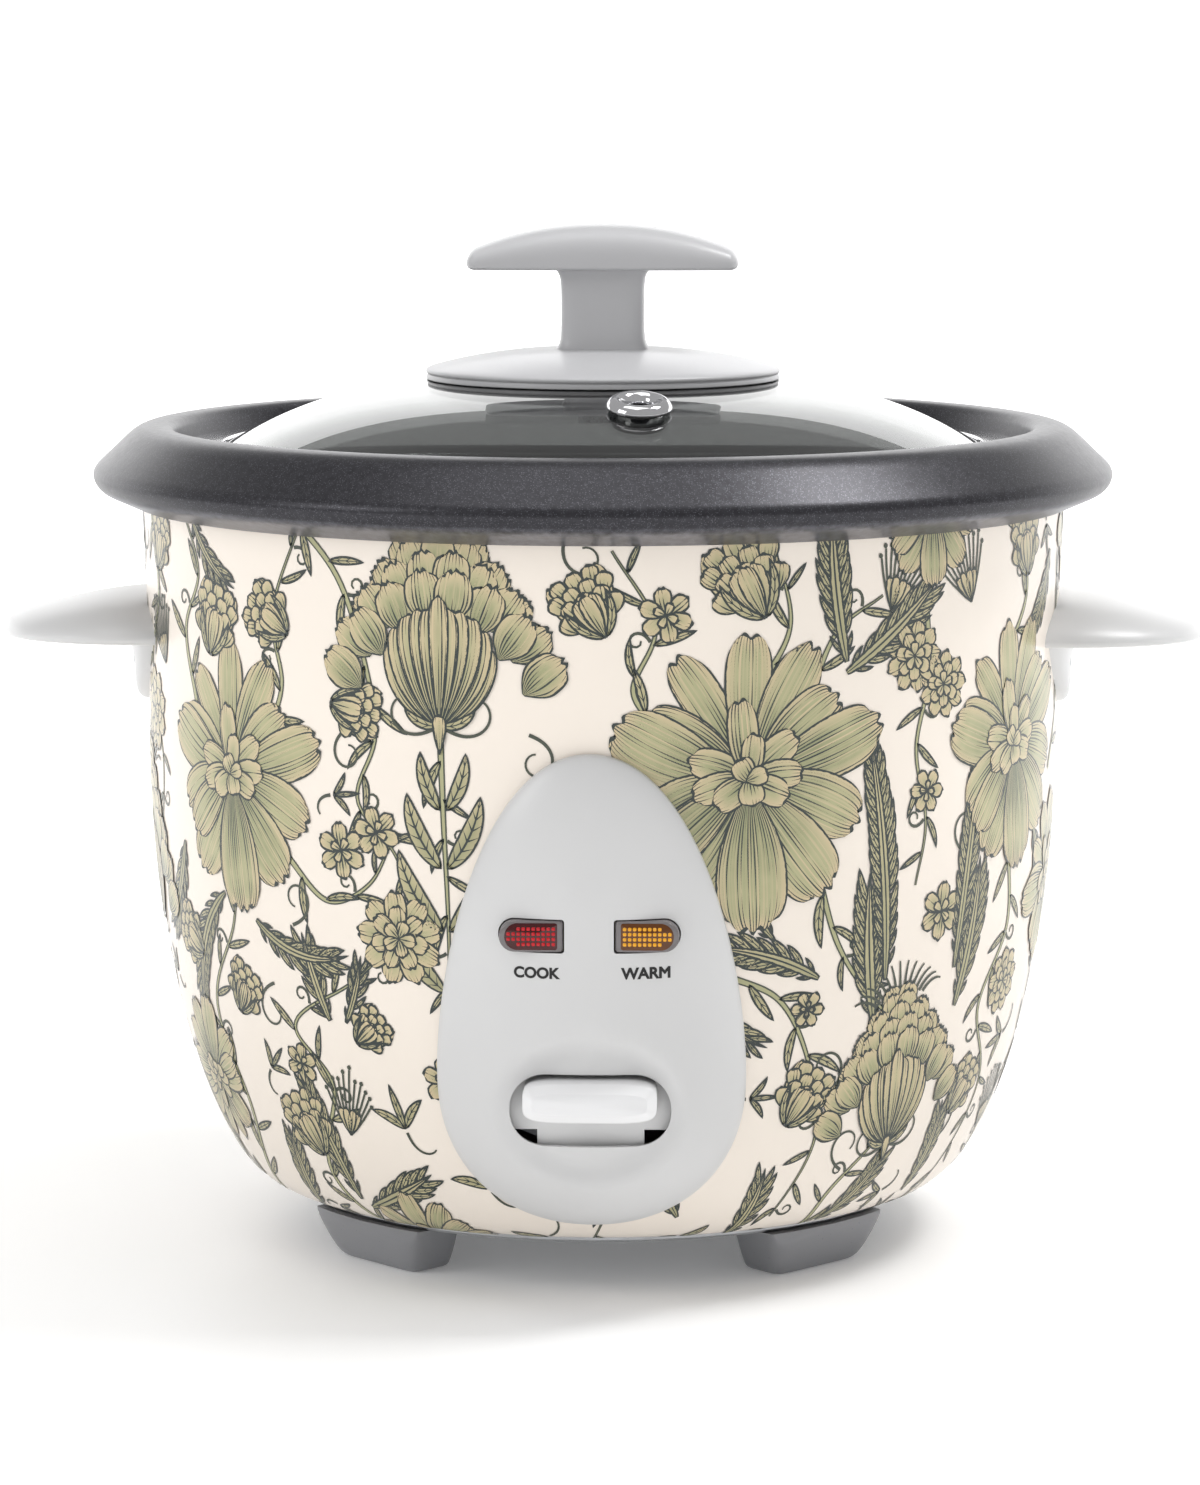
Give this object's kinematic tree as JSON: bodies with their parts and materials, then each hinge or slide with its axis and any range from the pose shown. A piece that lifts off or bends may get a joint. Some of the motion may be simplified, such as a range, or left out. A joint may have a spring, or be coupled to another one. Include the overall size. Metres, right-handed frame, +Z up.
{
  "type": "rice cooker",
  "caption": "Round electric rice cooker with a printed drum body, wide-lipped lift-out pot, glass lid with a T-shaped knob, side handles and an egg-shaped control panel.",
  "frame": {"origin": "on the floor under the centre of the drum, level with the undersides of the feet", "axes": "+Z up, -Y towards the control panel (front), +X towards the right-hand handle seen from the front"},
  "size_m": [0.241, 0.205, 0.2022],
  "materials": {
    "printed_enamel": "gloss cream enamel with a printed botanical pattern",
    "sheet_steel": "plain zinc-coated sheet",
    "foot_plastic": "satin moulded",
    "cast_aluminium": "as cast, turned top",
    "zinc_screw": "zinc plated",
    "wire_sleeve": "woven glass sleeve",
    "mica": "pressed mica board",
    "spring_steel": "drawn wire",
    "grey_plastic": "fine satin moulded light grey",
    "white_plastic": "moulded near white",
    "red_lens": "clear red moulded lens with a dot grid",
    "amber_lens": "clear amber moulded lens with a dot grid",
    "lamp_glass": "small neon lamp",
    "black_plastic": "heat-resistant moulded",
    "brass": "stamped",
    "ferrite": "sintered ferrite",
    "nonstick": "dark non-stick coating with a fine metallic sparkle",
    "clear_glass": "clear tempered glass",
    "polished_steel": "polished stainless",
    "silicone": "moulded translucent grey"
  },
  "bodies": {
    "base": {"outer_shell": "printed_enamel", "inner_liner": "sheet_steel", "floor_plate": "sheet_steel", "foot_1": "foot_plastic", "foot_2": "foot_plastic", "foot_3": "foot_plastic", "foot_4": "foot_plastic", "foot_screw_1": "zinc_screw", "foot_screw_2": "zinc_screw", "foot_screw_3": "zinc_screw", "foot_screw_4": "zinc_screw", "heating_plate": "cast_aluminium", "heater_screw_1": "zinc_screw", "heater_screw_2": "zinc_screw", "heater_screw_3": "zinc_screw", "heater_terminal_1": "zinc_screw", "heater_terminal_2": "zinc_screw", "thermal_fuse": "wire_sleeve", "keep_warm_pad": "mica", "sensor_housing": "sheet_steel", "sensor_spring": "spring_steel", "control_panel": "grey_plastic", "cook_lens": "red_lens", "cook_lamp": "lamp_glass", "warm_lens": "amber_lens", "warm_lamp": "lamp_glass", "lamp_board": "mica", "panel_screw_1": "zinc_screw", "panel_screw_2": "zinc_screw", "lever_pin": "zinc_screw", "lever_bracket": "sheet_steel", "switch_body": "black_plastic", "handle_left": "grey_plastic", "handle_right": "grey_plastic", "handle_screw_left_1": "zinc_screw", "handle_screw_left_2": "zinc_screw", "handle_screw_right_1": "zinc_screw", "handle_screw_right_2": "zinc_screw", "inlet_socket": "black_plastic", "inlet_pin_live": "brass", "inlet_pin_neutral": "brass", "inlet_pin_earth": "brass"},
    "lever": {"lever_arm": "sheet_steel", "lever_cap": "white_plastic"},
    "magnet": {"magnet": "ferrite", "pull_rod": "zinc_screw"},
    "plunger": {"switch_plunger": "brass"},
    "sensor": {"sensor_cap": "cast_aluminium", "sensor_ferrite": "ferrite", "magnet_spring": "spring_steel"},
    "pot": {"cooking_pot": "nonstick"},
    "lid": {"lid_glass": "clear_glass", "lid_band": "polished_steel", "vent_eyelet": "polished_steel", "knob_base": "grey_plastic", "knob_grip": "grey_plastic", "knob_gasket": "silicone", "knob_screw": "zinc_screw"}
  },
  "joints": [
    {"name": "pot_lift", "type": "slide", "parent": "base", "child": "pot", "axis": [0, 0, 1], "range_m": [0, 0.16]},
    {"name": "lid_lift", "type": "slide", "parent": "pot", "child": "lid", "axis": [0, 0, 1], "range_m": [0, 0.12]},
    {"name": "cook_lever", "type": "hinge", "parent": "base", "child": "lever", "pos_m": [0, -0.044, 0.0434], "axis": [1, 0, 0], "range_deg": [0, 5.72], "stiffness_Nm_per_rad": 0.6, "springref_deg": -2.86},
    {"name": "magnet_rise", "type": "slide", "parent": "base", "child": "magnet", "axis": [0, 0, 1], "range_m": [0, 0.0044], "deforming": ["magnet_spring"]},
    {"name": "plunger_press", "type": "slide", "parent": "base", "child": "plunger", "axis": [0, 0, -1], "range_m": [0, 0.0013]},
    {"name": "sensor_rise", "type": "slide", "parent": "base", "child": "sensor", "axis": [0, 0, 1], "range_m": [0, 0.0032], "deforming": ["sensor_spring"]}
  ],
  "couplings": [
    {"joint": "magnet_rise", "follows": "cook_lever", "m_per_rad": 0.044},
    {"joint": "plunger_press", "follows": "cook_lever", "m_per_rad": 0.013},
    {"joint": "sensor_rise", "follows": "pot_lift", "ratio": 0.02}
  ]
}
